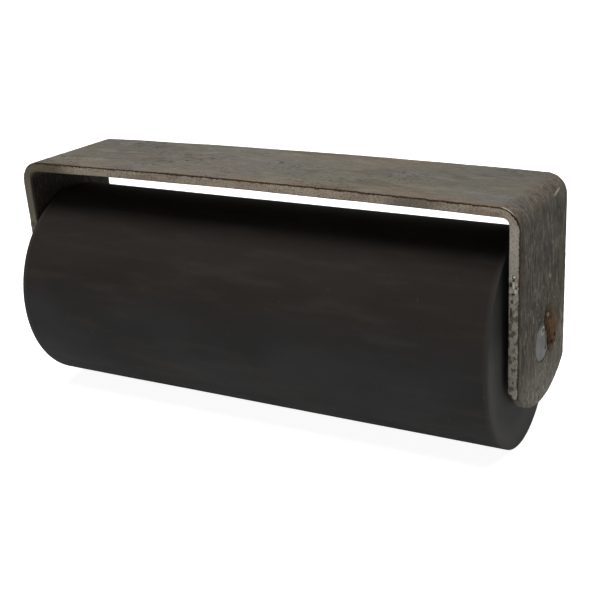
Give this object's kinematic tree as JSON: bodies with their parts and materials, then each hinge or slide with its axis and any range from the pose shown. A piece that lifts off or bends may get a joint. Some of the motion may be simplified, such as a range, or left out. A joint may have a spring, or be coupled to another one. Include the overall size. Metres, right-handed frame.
{
  "type": "boat trailer roller",
  "caption": "Weld-on boat trailer roller: a thick straight cylinder that turns on a steel pin between the ears of a bracket bent from flat bar.",
  "frame": {"origin": "centre of the web's top face, which is the face that gets welded to the trailer", "axes": "+X along the roller's axis, +Y to the back, +Z out of the weld face, away from the roller"},
  "size_m": [0.2712, 0.1016, 0.1218],
  "materials": {
    "bar_steel": "hot-rolled mill scale, dull grey-brown",
    "roller_plastic": "satin black",
    "pin_steel": "cold-drawn, grey",
    "weld_metal": "rusted weld bead"
  },
  "bodies": {
    "mount_frame": {"bracket": "bar_steel", "axle_pin": "pin_steel", "weld_left": "weld_metal", "weld_right": "weld_metal"},
    "roller": {"roller": "roller_plastic"}
  },
  "joints": [
    {"name": "roller_spin", "type": "hinge", "parent": "mount_frame", "child": "roller", "pos_m": [0, 0, -0.07106], "axis": [1, 0, 0], "continuous": true}
  ]
}
